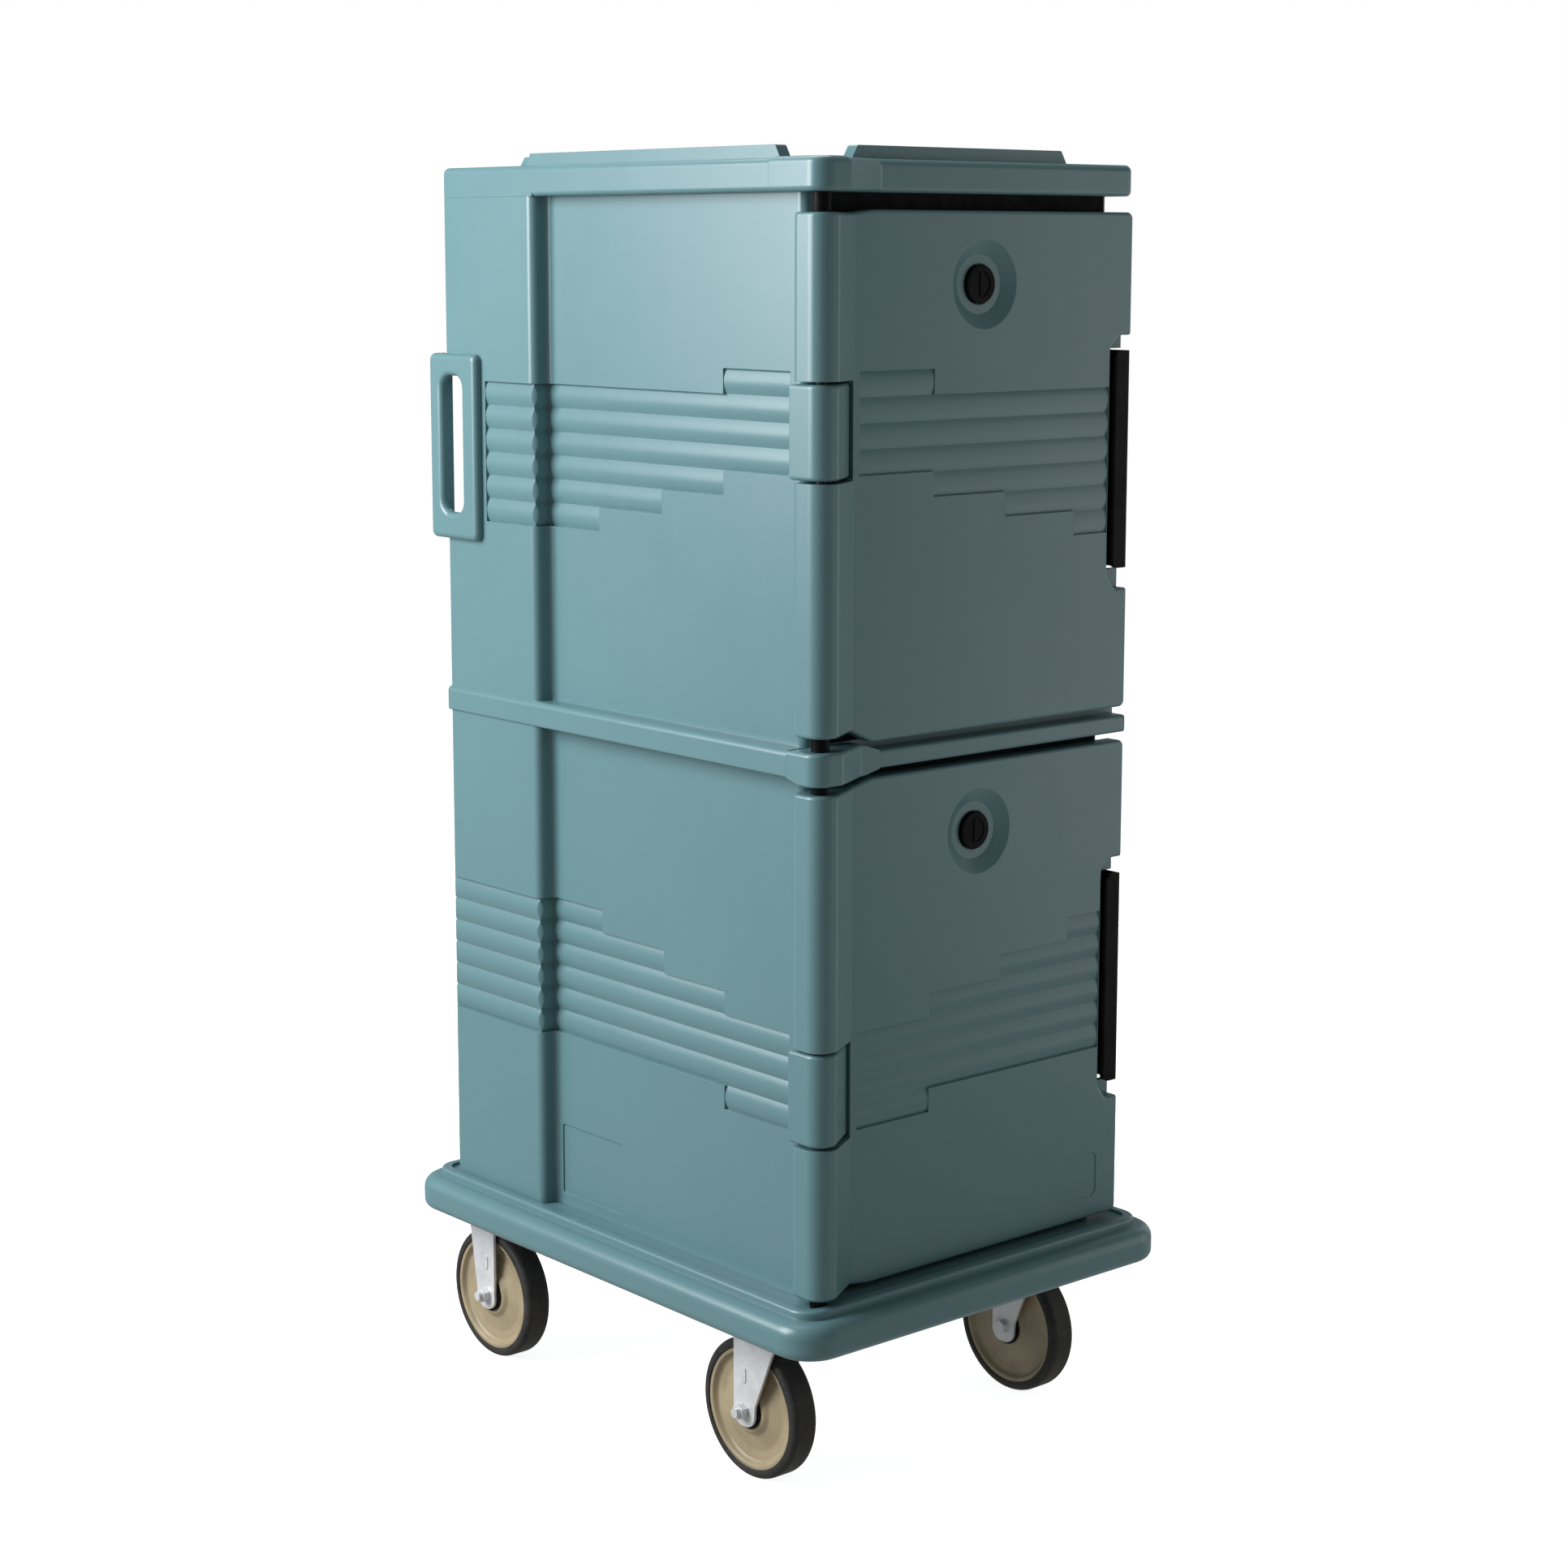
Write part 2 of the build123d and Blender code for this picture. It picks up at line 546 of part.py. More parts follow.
def door_gasket(level):
    """Seal that closes on the cabinet's rim round the plug."""
    low, high = HOLD_Z[level]
    (left, right), (foot, head) = plug_span(level, 0)
    y = (DOOR_BACK, FACE_Y - FIT)
    outer = block((HOLD_X[0] - 5, HOLD_X[1] + 6), y, (low - 6, high + 6))
    inner = block((left - 0.5, right + 0.5), (DOOR_BACK - 1, FACE_Y), (foot - 0.5, head + 0.5))
    return fillet(outer.edges().filter_by(Axis.Y), 18.0) - fillet(inner.edges().filter_by(Axis.Y), 16.0)


def vent_cap(level):
    """Black push-pull cap with its hollow stem."""
    z = DOOR_Z[level][1] - VENT_DROP
    disc = bar_y(VENT_X, z, CAP_R, (SEAT_Y - 6.4, SEAT_Y - FIT))
    disc = fillet(disc.edges().sort_by(Axis.Y)[0], 1.5)
    disc -= bar_y(VENT_X, z, CAP_R - 7, (SEAT_Y - 7, SEAT_Y - 5.4))
    disc += block((VENT_X - 1.6, VENT_X + 1.6), (SEAT_Y - 6.4, SEAT_Y - 5), (z - 14, z + 14))
    stem = bar_y(VENT_X, z, VENT_BORE_R - PIN_FIT, (SEAT_Y - 1, PLUG_BACK - 6))
    return disc + stem - bar_y(VENT_X, z, VENT_BORE_R - 3, (SEAT_Y + 3, PLUG_BACK))


# ---------------------------------------------------------------- latches
def latch_joints(level):
    """Heights of the bracket's knuckles and of the handle's barrels, from the bottom."""
    low, high = LATCH_Z[level]
    knuckles = [(low + 5, low + 25), (low + 85, high - 85), (high - 25, high - 5)]
    barrels = [(low + 25 + FIT, low + 85 - FIT), (high - 85 + FIT, high - 25 - FIT)]
    return knuckles, barrels


def latch_handle(level):
    """Black latch bar: a lip in the door's notch, a web and two hinge barrels."""
    low, high = LATCH_Z[level]
    x, y = LATCH_PIVOT
    lip = NOTCH_X + 2.6
    section = [(lip, -304.0), (225.2, -304.0), (225.2, -270.0), (220.6, -270.0),
               (220.6, -298.6), (lip, -298.6)]
    bar = upright(section, (low, high), [2.4, 6.0, 1.0, 1.0, 4.0, 2.0])
    bar &= fore_aft([(lip, low), (226.0, low), (226.0, high), (lip, high)], (-304.0, -270.0),
                    [10.0, 3.0, 3.0, 10.0])
    _, barrels = latch_joints(level)
    for span in barrels:
        bar += post((x, y), 6.5, span) + block((x, 225.2), (-272.0, y), span)
    for span in barrels:
        bar -= post((x, y), LATCH_PIN_R + PIN_FIT, (span[0] - 1, span[1] + 1))
        bar -= spring_room(span)
    return bar


def spring_room(span):
    """Space in the middle of a barrel for the spring's coils."""
    middle = (span[0] + span[1]) / 2
    return block((205, 226), (-267.8, -250), (middle - 12, middle + 12))


def latch_bracket(level):
    """Black bracket on the cabinet's side, with the knuckles of the latch's hinge."""
    low, high = LATCH_Z[level]
    x, y = LATCH_PIVOT
    plate = block((RECESS_X, RECESS_X + 3), (-272.0, -238.0), (low + 2, high - 2))
    plate = fillet(plate.edges().filter_by(Axis.X), 5.0)
    knuckles, _ = latch_joints(level)
    for span in knuckles:
        plate += post((x, y), 6.5, span) + block((RECESS_X + 1, x), (y - 5, y + 5), span)
    plate -= post((x, y), LATCH_PIN_R, (low, high))
    return plate - latch_screws()


def latch_pin(level):
    """Steel pin of the latch's hinge."""
    low, high = LATCH_Z[level]
    return post(LATCH_PIVOT, LATCH_PIN_R, (low + 4, high - 4))


def latch_springs(level):
    """Two coil springs on the latch pin."""
    _, barrels = latch_joints(level)
    wire, turns, pitch = 1.4, 5, 3.6
    coils = []
    for low, high in barrels:
        start = (low + high) / 2 - turns * pitch / 2
        path = Helix(pitch, turns * pitch, LATCH_PIN_R + 1.3)
        profile = Plane(path @ 0, z_dir=path % 0) * Circle(wire / 2)
        coils.append(Pos(*LATCH_PIVOT, start) * sweep(profile, path, is_frenet=True))
    return coils


def latch_screws():
    """Pan-head screws of both latch brackets."""
    screws = []
    for level in ("upper", "lower"):
        low, high = LATCH_Z[level]
        for z in (low + 14, low + 100, high - 100, high - 14):
            head = bar_x(-244.0, z, 4.2, (RECESS_X + 3, RECESS_X + 5.4))
            head = fillet(head.edges().sort_by(Axis.X)[-1], 1.6)
            screws.append(head + bar_x(-244.0, z, 2.5, (RECESS_X - 4, RECESS_X + 3)))
    return screws


# ---------------------------------------------------------------- casters
def caster_spots():
    """Centre of each caster's plate: (x, y)."""
    front = AXLE_Y["front"] - SWIVEL_LEAD
    return [(side * TRACK, y) for y in (front, AXLE_Y["rear"] + 6) for side in (-1, 1)]


def caster_bolts():
    """Hex bolts that hold the four plates under the base."""
    bolts = []
    for x, y in caster_spots():
        for dx, dy in ((-25, -37), (25, -37), (-25, 37), (25, 37)):
            head = Pos(x + dx, y + dy, PLATE_Z[0] - 5) * extrude(RegularPolygon(6.5, 6), 5)
            bolts.append(head + post((x + dx, y + dy), 4.0, (PLATE_Z[0] - 1, BASE_BOTTOM + 6)))
    return bolts


def plate_blank(x, y):
    """Rounded mounting plate under the base."""
    plate = block((x - 34, x + 34), (y - 47, y + 47), PLATE_Z)
    return fillet(plate.edges().filter_by(Axis.Z), 8.0) - caster_bolts()


def swivel_plate():
    """Top plate of the left swivel caster with its turret and king pin."""
    x, y = caster_spots()[0]
    turret = post((x, y), 27.0, (CROWN_Z[1] + 5, PLATE_Z[0]))
    king = post((x, y), 6.0, (CROWN_Z[0] - 3.4, CROWN_Z[1] + 5))
    head = post((x, y), 9.0, (CROWN_Z[0] - 3.4, CROWN_Z[0] - FIT))
    return plate_blank(x, y) + turret + king + head


def leg_outline(end, top):
    """Side view (y, z) of a fork leg: straight on the wheel's inner side, flared outside."""
    out = -1 if end == "front" else 1
    flare = 50.0 if end == "front" else 34.0
    y, z = AXLE_Y[end], WHEEL_R
    points = [(y - out * 16, top), (y - out * 16, z - 17), (y + out * 16, z - 17),
              (y + out * 18, z + 8), (y + out * flare, top)]
    return points, [0.0, 14.0, 14.0, 18.0, 0.0]


def fork_legs(end, top):
    """Both legs of a left fork, with a small pressed dimple and the axle hole."""
    y = AXLE_Y[end]
    points, rounds = leg_outline(end, top)
    legs = Part()
    for side in (-1, 1):
        inner, outer = -TRACK + side * LEG_IN, -TRACK + side * (LEG_IN + LEG_T)
        leg = sideways(points, sorted((inner, outer)), rounds)
        dimple = block((outer, outer + side * 0.9), (y - 4, y + 4), (WHEEL_R + 30, WHEEL_R + 47))
        dimple = fillet(dimple.edges().filter_by(Axis.X), 3.9)
        legs += leg + dimple
    return legs - bar_x(y, WHEEL_R, AXLE_R, (-TRACK - 40, -TRACK + 40))


def swivel_fork():
    """Pressed fork of the left swivel caster."""
    x, y = caster_spots()[0]
    reach = LEG_IN + LEG_T
    crown = block((x - reach, x + reach), (y - 20, y + 44), CROWN_Z) + post((x, y), 33.0, CROWN_Z)
    cup = post((x, y), 33.0, (CROWN_Z[0], CROWN_Z[1] + 9)) - post((x, y), 28.0, (CROWN_Z[1], 200))
    fork = fork_legs("front", CROWN_Z[1]) + crown + cup
    return fork - post((x, y), 6.0 + PIN_FIT, (100, 200))


def rigid_fork():
    """Fixed fork of the left rear caster, with its mounting plate."""
    x, y = caster_spots()[2]
    return plate_blank(x, y) + fork_legs("rear", PLATE_Z[0] + 1)


def axle_bolt(end):
    """Axle bolt of a left caster, head on the inner side."""
    y, reach = AXLE_Y[end], LEG_IN + LEG_T
    head = Plane((-TRACK + reach, y, WHEEL_R), z_dir=(1, 0, 0)) * RegularPolygon(8.5, 6)
    shank = bar_x(y, WHEEL_R, AXLE_R, (-TRACK - reach - 13, -TRACK + reach + 1))
    return shank + extrude(head, 5.5)


def axle_nut(end):
    """Lock nut on the outer side."""
    y, reach = AXLE_Y[end], LEG_IN + LEG_T
    blank = Plane((-TRACK - reach, y, WHEEL_R), z_dir=(-1, 0, 0)) * RegularPolygon(8.5, 6)
    nut = extrude(blank, 8.0)
    return nut - bar_x(y, WHEEL_R, AXLE_R, (-TRACK - reach - 20, -TRACK + reach))


def revolved(profile, end, rounds=0.0):
    """Turned piece on a left wheel's axle, from (radius, x offset) points."""
    face = make_face(FilletPolyline(*[(x, r) for r, x in profile], radius=rounds, close=True))
    solid = revolve(face, Axis.X)
    return Pos(-TRACK, AXLE_Y[end], WHEEL_R) * solid


def hub_bush(end):
    """Black plain bearing with a flange at each end."""
    half = HUB_W / 2
    bore = AXLE_R + PIN_FIT
    flange, barrel, thick = 20.5, 9.0, 2.0
    return revolved([(bore, -half), (flange, -half), (flange, thick - half), (barrel, thick - half),
                     (barrel, half - thick), (flange, half - thick), (flange, half), (bore, half)],
                    end)


def wheel_core(end):
    """Tan moulded wheel centre with a dished web."""
    side = [(9, 16), (24, 16), (29, 12), (46, 8), (57, 9), (60.5, 14.5), (CORE_R, 14.5)]
    other = [(r, -x) for r, x in reversed(side)]
    return revolved(side + other, end, [0, 2, 3, 8, 4, 2, 0, 0, 2, 4, 8, 3, 2, 0])


def tyre(end):
    """Grey rubber tread."""
    half = TYRE_W / 2
    profile = [(CORE_R, -half), (CORE_R, half), (WHEEL_R, half), (WHEEL_R, -half)]
    return revolved(profile, end, [0.5, 0.5, 6.5, 6.5])


# ---------------------------------------------------------------- write the pieces
os.makedirs("parts", exist_ok=True)
save("outer_shell", outer_shell())
save("foam_core", foam_core())
save("base_bumper", base_bumper())
save("top_cover", top_cover())
save("rim_gaskets", Compound(children=rim_gaskets()))
save("side_handle_left", side_handle())
save("side_handle_right", mirrored(side_handle()))
save("hinge_boss_middle", hinge_boss())
save("latch_screws", Compound(children=latch_screws()))
save("caster_bolts", Compound(children=caster_bolts()))
for level in ("upper", "lower"):
    save(f"liner_{level}", liner(level))
    save(f"hinge_knuckle_{level}", hinge_knuckle(level))
    save(f"hinge_pin_{level}", hinge_pin(level))
    save(f"hinge_bushes_{level}", Compound(children=hinge_bushes(level)))
    save(f"door_shell_{level}", door_shell(level))
    save(f"door_foam_{level}", door_foam(level))
    save(f"door_liner_{level}", door_liner(level))
    save(f"door_gasket_{level}", door_gasket(level))
    save(f"vent_cap_{level}", vent_cap(level))
    save(f"latch_handle_{level}", latch_handle(level))
    save(f"latch_bracket_{level}", latch_bracket(level))
    save(f"latch_pin_{level}", latch_pin(level))
    save(f"latch_springs_{level}", Compound(children=latch_springs(level)))

for end in ("front", "rear"):
    pieces = {"hub_bush": hub_bush(end), "wheel_core": wheel_core(end), "tyre": tyre(end)}
    if end == "front":
        pieces["swivel_plate"] = swivel_plate()
        pieces["caster_fork"] = swivel_fork()
        pieces["axle_bolt"] = axle_bolt(end)
        pieces["axle_nut"] = axle_nut(end)
    else:
        pieces["caster_fork"] = rigid_fork()
        for name, piece in (("axle_bolts", axle_bolt(end)), ("axle_nuts", axle_nut(end))):
            save(f"{name}_rear", Compound(children=[piece, mirrored(piece)]))
    for name, piece in pieces.items():
        save(f"{name}_{end}_left", piece)
        save(f"{name}_{end}_right", mirrored(piece))
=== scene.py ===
"""Looks of the insulated food carrier: materials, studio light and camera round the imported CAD.

Metres, +Z up, the doors face -Y. Every shape is the CAD's own, and this script gives each one
its finish.
"""
import json
import math

import bmesh
import bpy
from mathutils import Matrix, Vector

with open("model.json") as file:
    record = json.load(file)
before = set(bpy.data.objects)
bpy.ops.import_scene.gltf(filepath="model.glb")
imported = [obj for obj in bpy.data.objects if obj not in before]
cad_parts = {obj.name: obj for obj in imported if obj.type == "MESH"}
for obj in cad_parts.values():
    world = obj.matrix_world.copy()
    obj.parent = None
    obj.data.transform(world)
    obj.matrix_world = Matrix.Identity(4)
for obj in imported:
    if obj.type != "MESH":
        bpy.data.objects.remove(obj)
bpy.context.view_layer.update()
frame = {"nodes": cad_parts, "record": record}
NODES = frame["nodes"]

# camera: place, turn in degrees, sensor and lens in millimetres, and upward shift
CAMERA_PLACE = (-2.1194, -2.4704, 1.2682)
YAW, PITCH, ROLL = 40.72, -8.93, 0.07
SENSOR, LENS, SHIFT_Y = 36.0, 69.0764, -0.041584

# colours of the mouldings
SLATE = (0.104, 0.206, 0.225)
LINER_SHADE = 0.95

# room
FLOOR_RADIUS, FLOOR_DROP = 19.0, 0.0005
DOME_RADIUS = 20.0
FLOOR_GLOW = 0.88
ROOM_TINT = (0.99, 1.0, 0.985)
ROOM_FADE = (-0.35, 0.35, 0.40, 0.19)      # from and to height of direction, strength there

# soft lights: name, place, target, width and height, power, colour
LAMPS = (
    ("key", (-2.3, 1.1, 1.85), (-0.2, 0.0, 0.85), (1.6, 1.9), 124.0, (0.98, 1.0, 1.02)),
    ("right_panel", (2.6, -1.9, 0.7), (0.1, -0.3, 0.6), (1.6, 2.2), 12.0, (1.0, 1.0, 0.96)),
    ("side_panel", (2.8, 0.3, 1.2), (0.2, -0.3, 0.8), (1.4, 2.4), 5.0, (1.0, 1.0, 1.0)),
    ("overhead", (0.2, 0.6, 3.0), (0.0, 0.0, 1.2), (1.6, 1.6), 34.0, (1.0, 1.0, 1.0)),
)


# ------------------------------------------------------------------ camera
def aim_camera():
    """Camera at the photograph's viewpoint."""
    yaw, pitch, roll = (math.radians(angle) for angle in (YAW, PITCH, ROLL))
    reach = math.cos(pitch)
    forward = Vector((math.sin(yaw) * reach, math.cos(yaw) * reach, math.sin(pitch)))
    level = Vector((math.cos(yaw), -math.sin(yaw), 0.0))
    upward = level.cross(forward)
    right = level * math.cos(roll) + upward * math.sin(roll)
    upward = upward * math.cos(roll) - level * math.sin(roll)
    data = bpy.data.cameras.new("camera")
    data.sensor_width = SENSOR
    data.lens = LENS
    data.shift_y = SHIFT_Y
    camera = bpy.data.objects.new("camera", data)
    bpy.context.scene.collection.objects.link(camera)
    turn = Matrix((right, upward, -forward)).transposed().to_4x4()
    camera.matrix_world = Matrix.Translation(CAMERA_PLACE) @ turn
    bpy.context.scene.camera = camera


# ------------------------------------------------------------------ node helpers
def set_range(node, numbers):
    """Set a Map Range node's from and to limits."""
    for key, number in zip(("From Min", "From Max", "To Min", "To Max"), numbers):
        node.inputs[key].default_value = number


class Graph:
    """A material's node tree with short ways to add and join nodes."""

    def __init__(self, name):
        self.material = bpy.data.materials.new(name)
        self.material.use_nodes = True
        self.tree = self.material.node_tree
        self.bsdf = self.tree.nodes["Principled BSDF"]
        self.place = self.add("ShaderNodeTexCoord").outputs["Object"]

    def add(self, kind, **values):
        node = self.tree.nodes.new(kind)
        for key, value in values.items():
            setattr(node, key, value)
        return node

    def link(self, source, target):
        self.tree.links.new(source, target)

    def feed(self, socket, value):
        """Join an output to a socket, or set a constant on it."""
        if hasattr(value, "is_output"):
            self.link(value, socket)
        else:
            socket.default_value = value

    def noise(self, scale, detail=4.0, rough=0.5, stretch=None):
        """Noise over the object, 0 to 1."""
        node = self.add("ShaderNodeTexNoise")
        node.inputs["Scale"].default_value = scale
        node.inputs["Detail"].default_value = detail
        node.inputs["Roughness"].default_value = rough
        place = self.place
        if stretch:
            mapping = self.add("ShaderNodeMapping")
            mapping.inputs["Scale"].default_value = stretch
            self.link(place, mapping.inputs["Vector"])
            place = mapping.outputs["Vector"]
        self.link(place, node.inputs["Vector"])
        return node.outputs["Fac"]

    def spread(self, value, low, high, to_low=0.0, to_high=1.0):
        """Map low..high to to_low..to_high, clamped."""
        node = self.add("ShaderNodeMapRange")
        self.feed(node.inputs["Value"], value)
        set_range(node, (low, high, to_low, to_high))
        return node.outputs["Result"]

    def math(self, operation, first, second=0.0):
        node = self.add("ShaderNodeMath", operation=operation)
        self.feed(node.inputs[0], first)
        self.feed(node.inputs[1], second)
        return node.outputs["Value"]

    def mix(self, amount, first, second):
        """Mix two colours, given as outputs or RGB tuples."""
        node = self.add("ShaderNodeMix", data_type="RGBA")
        self.feed(node.inputs["Factor"], amount)
        for key, value in (("A", first), ("B", second)):
            socket = [s for s in node.inputs if s.name == key and s.type == "RGBA"][0]
            self.feed(socket, value if hasattr(value, "is_output") else (*value, 1.0))
        return [s for s in node.outputs if s.type == "RGBA"][0]

    def edges(self, radius):
        """1 on edges, 0 on flats, with the rounded normal of the same radius."""
        bevel = self.add("ShaderNodeBevel", samples=6)
        bevel.inputs["Radius"].default_value = radius
        true_normal = self.add("ShaderNodeNewGeometry").outputs["Normal"]
        dot = self.add("ShaderNodeVectorMath", operation="DOT_PRODUCT")
        self.link(bevel.outputs["Normal"], dot.inputs[0])
        self.link(true_normal, dot.inputs[1])
        edge = self.spread(dot.outputs["Value"], 0.995, 0.80)
        return edge, bevel.outputs["Normal"]

    def worn(self, base, edge, amount, colour):
        """Mix in a rubbed colour along the edges."""
        return self.mix(self.math("MULTIPLY", edge, amount), base, colour)

    def bump(self, height, distance, strength=1.0, normal=None):
        node = self.add("ShaderNodeBump")
        node.inputs["Strength"].default_value = strength
        node.inputs["Distance"].default_value = distance
        self.link(height, node.inputs["Height"])
        if normal is not None:
            self.link(normal, node.inputs["Normal"])
        return node.outputs["Normal"]

    def finish(self, colour, roughness, normal=None, **constants):
        self.feed(self.bsdf.inputs["Base Color"], colour)
        self.feed(self.bsdf.inputs["Roughness"], roughness)
        if normal is not None:
            self.link(normal, self.bsdf.inputs["Normal"])
        for key, value in constants.items():
            self.bsdf.inputs[key.replace("_", " ")].default_value = value
        return self.material


# ------------------------------------------------------------------ materials
def lighter(colour, gain, lift):
    return tuple(min(1.0, part * gain + lift) for part in colour)


def moulded(name, colour, rough=(0.26, 0.32), wear=0.35):
    """Rotationally moulded polyethylene: satin, slightly wavy, with scuffed edges."""
    g = Graph(name)
    cloud = g.noise(2.6, 3.0, 0.55)
    speck = g.noise(85.0, 1.0, 0.5)
    dark = tuple(part * 0.955 for part in colour)
    light = tuple(part * 1.045 for part in colour)
    base = g.mix(g.spread(cloud, 0.20, 0.80), dark, light)
    base = g.mix(g.spread(speck, 0.15, 0.85, 0.0, 0.06), base, lighter(colour, 1.35, 0.01))
    edge, soft = g.edges(0.0010)
    patches = g.spread(g.noise(38.0, 5.0, 0.65), 0.45, 0.68, 0.0, wear)
    base = g.worn(base, edge, patches, lighter(colour, 1.5, 0.05))
    scratch = g.noise(60.0, 0.0, 0.5, stretch=(1.0, 1.0, 0.12))
    roughness = g.spread(g.noise(7.0, 1.0, 0.5), 0.15, 0.85, *rough)
    roughness = g.math("ADD", roughness, g.spread(scratch, 0.15, 0.85, 0.0, 0.03))
    normal = g.bump(g.noise(9.0, 2.0, 0.4), 0.00025, 1.0, soft)
    normal = g.bump(g.noise(55.0, 0.0, 0.4), 0.00005, 0.25, normal)
    return g.finish(base, roughness, normal, Specular_IOR_Level=0.5)


def black_plastic(name):
    """Black moulded nylon with a fine texture, greyed a little on its edges."""
    g = Graph(name)
    cloud = g.spread(g.noise(30.0, 4.0), 0.4, 0.65)
    base = g.mix(cloud, (0.0035, 0.0035, 0.0038), (0.0075, 0.0075, 0.008))
    edge, soft = g.edges(0.0008)
    patches = g.spread(g.noise(70.0, 4.0), 0.4, 0.7, 0.0, 0.5)
    base = g.worn(base, edge, patches, (0.035, 0.035, 0.036))
    roughness = g.spread(g.noise(45.0, 4.0), 0.3, 0.7, 0.40, 0.56)
    normal = g.bump(g.noise(1500.0, 3.0, 0.6), 0.00008, 0.6, soft)
    return g.finish(base, roughness, normal, Specular_IOR_Level=0.07)


def zinc(name):
    """Zinc-plated pressed steel: pale, faintly clouded, with rolling marks."""
    g = Graph(name)
    plate = (0.72, 0.725, 0.74)
    cloud = g.noise(55.0, 5.0, 0.6)
    base = g.mix(g.spread(cloud, 0.35, 0.65), tuple(part * 0.86 for part in plate), plate)
    stain = g.noise(16.0, 4.0, 0.6)
    base = g.mix(g.spread(stain, 0.60, 0.78, 0.0, 0.35), base, (0.46, 0.44, 0.40))
    edge, soft = g.edges(0.0006)
    base = g.worn(base, edge, 0.5, (0.78, 0.78, 0.80))
    lines = g.noise(240.0, 3.0, 0.6, stretch=(1.0, 1.0, 0.08))
    roughness = g.math(
        "ADD", g.spread(cloud, 0.3, 0.7, 0.28, 0.44), g.spread(lines, 0.4, 0.7, 0.0, 0.08))
    normal = g.bump(lines, 0.00004, 0.5, soft)
    return g.finish(base, roughness, normal, Metallic=0.3)


def steel(name):
    """Bright turned steel of pins, springs and screws."""
    g = Graph(name)
    lines = g.noise(500.0, 3.0, 0.6, stretch=(1.0, 1.0, 0.1))
    base = g.mix(g.spread(lines, 0.35, 0.65), (0.42, 0.42, 0.43), (0.60, 0.60, 0.61))
    edge, soft = g.edges(0.0004)
    base = g.worn(base, edge, 0.5, (0.8, 0.8, 0.8))
    roughness = g.spread(g.noise(80.0, 4.0), 0.3, 0.7, 0.22, 0.38)
    return g.finish(base, roughness, g.bump(lines, 0.00003, 0.5, soft), Metallic=1.0)


def tan_core(name):
    """Tan moulded wheel centre with a dusty, slightly mottled skin."""
    g = Graph(name)
    cloud = g.noise(22.0, 5.0, 0.6)
    base = g.mix(g.spread(cloud, 0.35, 0.68), (0.29, 0.235, 0.145), (0.40, 0.325, 0.205))
    dust = g.noise(9.0, 4.0, 0.6)
    base = g.mix(g.spread(dust, 0.52, 0.75, 0.0, 0.45), base, (0.22, 0.185, 0.13))
    edge, soft = g.edges(0.0012)
    base = g.worn(base, edge, 0.45, (0.58, 0.50, 0.35))
    roughness = g.spread(g.noise(40.0, 4.0), 0.3, 0.7, 0.34, 0.50)
    normal = g.bump(g.noise(600.0, 3.0), 0.00008, 0.5, soft)
    return g.finish(base, roughness, normal, Specular_IOR_Level=0.5)


def tread_rubber(name):
    """Dark grey elastomer tread, dusty where it meets the floor."""
    g = Graph(name)
    cloud = g.noise(26.0, 5.0, 0.6)
    base = g.mix(
        g.spread(cloud, 0.35, 0.7), (0.021, 0.020, 0.0194), (0.041, 0.038, 0.036))
    dust = g.noise(120.0, 5.0, 0.65)
    base = g.mix(g.spread(dust, 0.52, 0.74, 0.0, 0.30), base, (0.105, 0.092, 0.080))
    edge, soft = g.edges(0.0015)
    roughness = g.spread(cloud, 0.3, 0.7, 0.48, 0.66)
    normal = g.bump(g.noise(900.0, 4.0, 0.6), 0.00012, 0.7, soft)
    return g.finish(base, roughness, normal, Specular_IOR_Level=0.25)


def painted_steel(name):
    """Hinge pins: steel under thin black paint, rubbed bright in a few spots."""
    g = Graph(name)
    cloud = g.spread(g.noise(35.0, 4.0), 0.4, 0.65)
    base = g.mix(cloud, (0.008, 0.008, 0.008), (0.016, 0.016, 0.016))
    chips = g.spread(g.noise(140.0, 5.0, 0.65), 0.66, 0.72, 0.0, 0.8)
    base = g.mix(chips, base, (0.20, 0.19, 0.18))
    edge, soft = g.edges(0.0005)
    base = g.worn(base, edge, 0.5, (0.16, 0.16, 0.16))
    roughness = g.spread(chips, 0.0, 0.8, 0.48, 0.32)
    normal = g.bump(g.noise(700.0, 3.0), 0.00004, 0.6, soft)
    return g.finish(base, roughness, normal, Specular_IOR_Level=0.3)


def gasket_and_gap_shade_rubber(name):
    """Black door gasket with a matt, faintly ribbed skin; its near-black also paints the shade in
    the gaps round the doors.
    """
    g = Graph(name)
    cloud = g.spread(g.noise(60.0, 4.0), 0.4, 0.65)
    # near-black: the gasket's own colour, and also painted shade in the gaps round the doors
    base = g.mix(cloud, (0.006, 0.006, 0.006), (0.012, 0.012, 0.012))
    edge, soft = g.edges(0.0008)
    base = g.worn(base, edge, 0.4, (0.07, 0.07, 0.07))
    normal = g.bump(g.noise(1200.0, 3.0, 0.6), 0.00010, 0.8, soft)
    roughness = g.spread(g.noise(90.0), 0.3, 0.7, 0.62, 0.8)
    return g.finish(base, roughness, normal, Specular_IOR_Level=0.1)


def poured_foam(name):
    """Cream polyurethane foam with open cells, their pits painted darker as shade."""
    g = Graph(name)
    cells = g.add("ShaderNodeTexVoronoi")
    cells.inputs["Scale"].default_value = 700.0
    g.link(g.place, cells.inputs["Vector"])
    cell = cells.outputs["Distance"]
    cloud = g.spread(g.noise(12.0, 5.0), 0.35, 0.7)
    base = g.mix(cloud, (0.62, 0.50, 0.28), (0.76, 0.66, 0.42))
    # darker towards each cell's centre, where the bump sinks the pits: painted shade in the open
    # cells
    base = g.mix(g.spread(cell, 0.0, 0.5, 0.5, 0.0), base, (0.40, 0.30, 0.15))
    roughness = g.spread(cell, 0.0, 0.6, 0.75, 0.95)
    return g.finish(base, roughness, g.bump(cell, 0.0006, 0.8), Specular_IOR_Level=0.25)


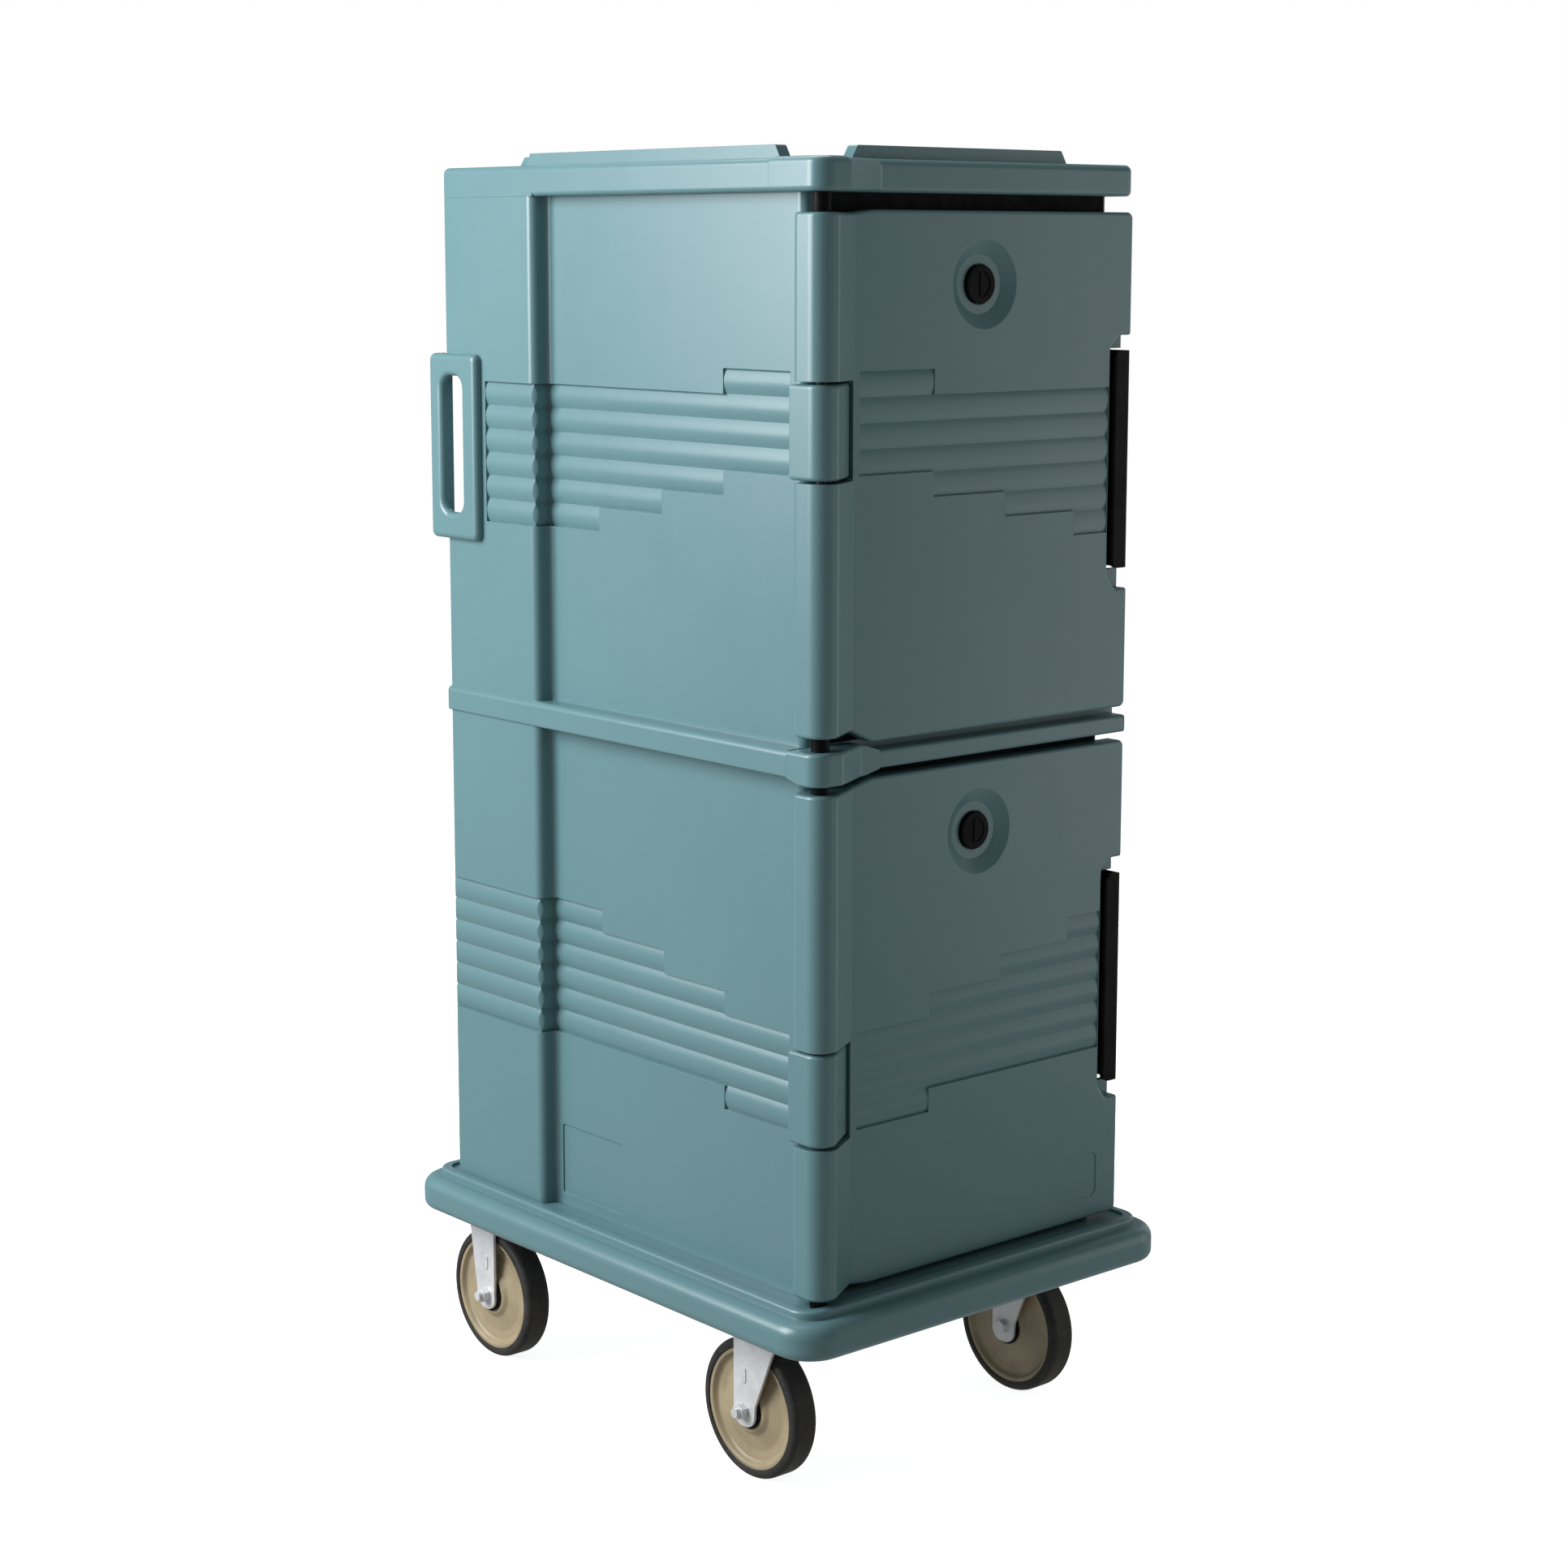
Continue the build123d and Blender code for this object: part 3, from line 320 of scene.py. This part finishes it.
liner_colour = tuple(part * LINER_SHADE for part in SLATE)
finishes = {
    "body": moulded("slate_polyethylene", SLATE),
    "liner": moulded("liner_polyethylene", liner_colour, rough=(0.32, 0.44), wear=0.2),
    "foam": poured_foam("poured_foam"),
    # the gasket's black also paints the shade in the gaps round the doors
    "gasket": gasket_and_gap_shade_rubber("gasket_rubber_gap_shade"),
    "black_plastic": black_plastic("black_nylon"),
    "steel": steel("turned_steel"),
    "painted_steel": painted_steel("black_painted_steel"),
    "zinc": zinc("zinc_plated_steel"),
    "wheel_core": tan_core("tan_wheel_core"),
    "tread": tread_rubber("tread_rubber"),
}


def dress(node, material):
    """Give a CAD node one material on all of its slots."""
    slots = node.data.materials
    if not slots:
        slots.append(material)
    for index in range(len(slots)):
        slots[index] = material


for row in frame["record"]["subparts"]:
    dress(NODES[row["node"]], finishes[row["material_slot"]])


# ------------------------------------------------------------------ studio
def glowing(name):
    """Plain white light."""
    material = bpy.data.materials.new(name)
    material.use_nodes = True
    tree = material.node_tree
    tree.nodes.clear()
    glow = tree.nodes.new("ShaderNodeEmission")
    glow.inputs["Color"].default_value = (1.0, 1.0, 1.0, 1.0)
    glow.inputs["Strength"].default_value = 1.0
    out = tree.nodes.new("ShaderNodeOutputMaterial")
    tree.links.new(glow.outputs["Emission"], out.inputs["Surface"])
    return material


def stage_mesh(name, build, material):
    """A floor or backdrop from a bmesh operator."""
    mesh = bpy.data.meshes.new(name)
    form = bmesh.new()
    build(form)
    form.to_mesh(mesh)
    form.free()
    mesh.materials.append(material)
    obj = bpy.data.objects.new(name, mesh)
    bpy.context.scene.collection.objects.link(obj)
    return obj


def softbox(name, place, target, size, power, colour):
    """Rectangular area light facing its target."""
    data = bpy.data.lights.new(name, "AREA")
    data.shape = "RECTANGLE"
    data.size, data.size_y = size
    data.energy = power
    data.color = colour
    lamp = bpy.data.objects.new(name, data)
    lamp.location = place
    aim = Vector(target) - Vector(place)
    lamp.rotation_euler = aim.to_track_quat("-Z", "Y").to_euler()
    bpy.context.scene.collection.objects.link(lamp)


def lay_floor():
    """Pale floor under a white dome. Neither lights, shades nor shows in the object."""
    g = Graph("pale_floor")
    cloud = g.spread(g.noise(3.0, 3.0), 0.4, 0.6)
    shade = g.mix(cloud, (0.86, 0.86, 0.86), (0.88, 0.88, 0.88))
    pale = g.finish(shade, 0.6, Emission_Strength=FLOOR_GLOW)
    g.bsdf.inputs["Emission Color"].default_value = (1.0, 1.0, 1.0, 1.0)
    floor = stage_mesh(
        "floor",
        lambda form: bmesh.ops.create_circle(
            form, cap_ends=True, radius=FLOOR_RADIUS, segments=96),
        pale)
    floor.location.z = -FLOOR_DROP
    dome = stage_mesh(
        "backdrop",
        lambda form: bmesh.ops.create_uvsphere(
            form, u_segments=48, v_segments=24, radius=DOME_RADIUS),
        glowing("white_backdrop"))
    for obj in (floor, dome):
        obj.visible_diffuse = False
        obj.visible_shadow = False
        obj.visible_glossy = False
    dome.visible_transmission = False


def light_room():
    """Dim even light, brighter from below, so that undersides aren't black."""
    world = bpy.data.worlds.new("room")
    world.use_nodes = True
    tree = world.node_tree
    background = tree.nodes["Background"]
    background.inputs["Color"].default_value = (*ROOM_TINT, 1.0)
    split = tree.nodes.new("ShaderNodeSeparateXYZ")
    fade = tree.nodes.new("ShaderNodeMapRange")
    direction = tree.nodes.new("ShaderNodeTexCoord").outputs["Generated"]
    tree.links.new(direction, split.inputs["Vector"])
    tree.links.new(split.outputs["Z"], fade.inputs["Value"])
    set_range(fade, ROOM_FADE)
    tree.links.new(fade.outputs["Result"], background.inputs["Strength"])
    bpy.context.scene.world = world


aim_camera()
lay_floor()
light_room()
for lamp_row in LAMPS:
    softbox(*lamp_row)
bpy.context.scene.view_settings.view_transform = "Standard"
